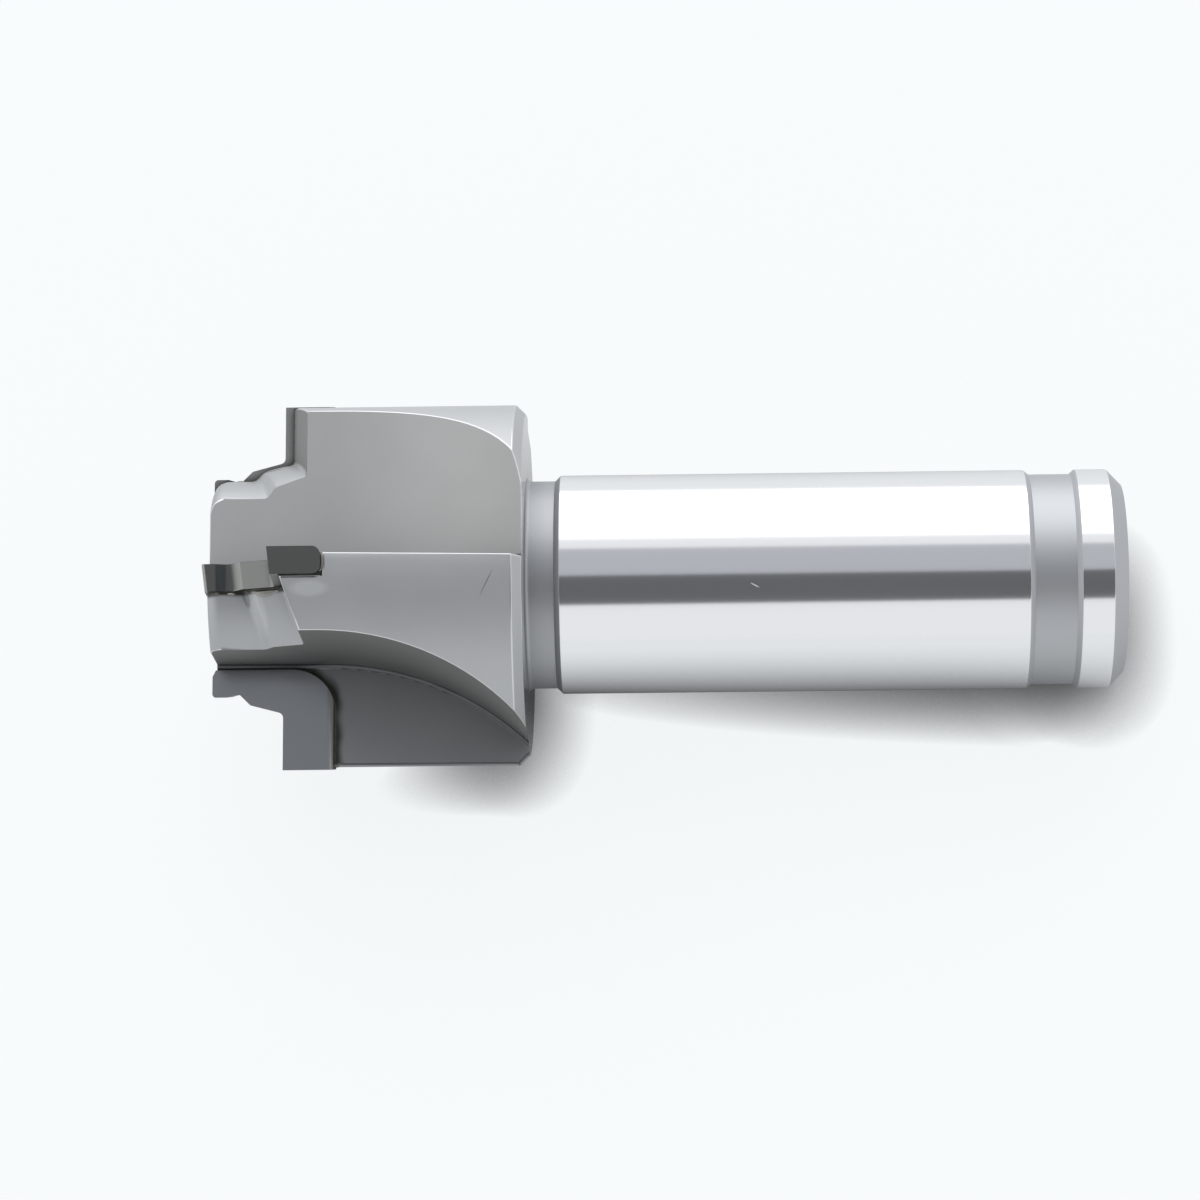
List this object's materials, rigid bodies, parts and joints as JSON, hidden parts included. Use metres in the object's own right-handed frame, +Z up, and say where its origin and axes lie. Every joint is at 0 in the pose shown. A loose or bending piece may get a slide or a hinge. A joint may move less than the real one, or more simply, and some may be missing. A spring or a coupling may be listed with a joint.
{
  "type": "port contour cutter",
  "caption": "Fluted steel head with brazed profile-ground tips on a plain ground shank, for cutting a stepped and tapered port seat in one pass.",
  "frame": {"origin": "centre of the footprint, on the surface that the tool lies on", "axes": "+X along the length, towards the shank end; the tool axis dips 6 degrees towards the shank end; +Z up"},
  "size_m": [0.0846, 0.0326, 0.0341],
  "materials": {
    "tool_steel": "head blasted to a satin grey, shank ground bright",
    "carbide": "fine ground, dark grey",
    "braze_filler": "pale, as flowed"
  },
  "bodies": {
    "root": {"cutter_body": "tool_steel", "tip_1": "carbide", "tip_2": "carbide", "tip_3": "carbide", "tip_4": "carbide", "braze_seam_1": "braze_filler", "braze_seam_2": "braze_filler", "braze_seam_3": "braze_filler", "braze_seam_4": "braze_filler"}
  },
  "joints": []
}
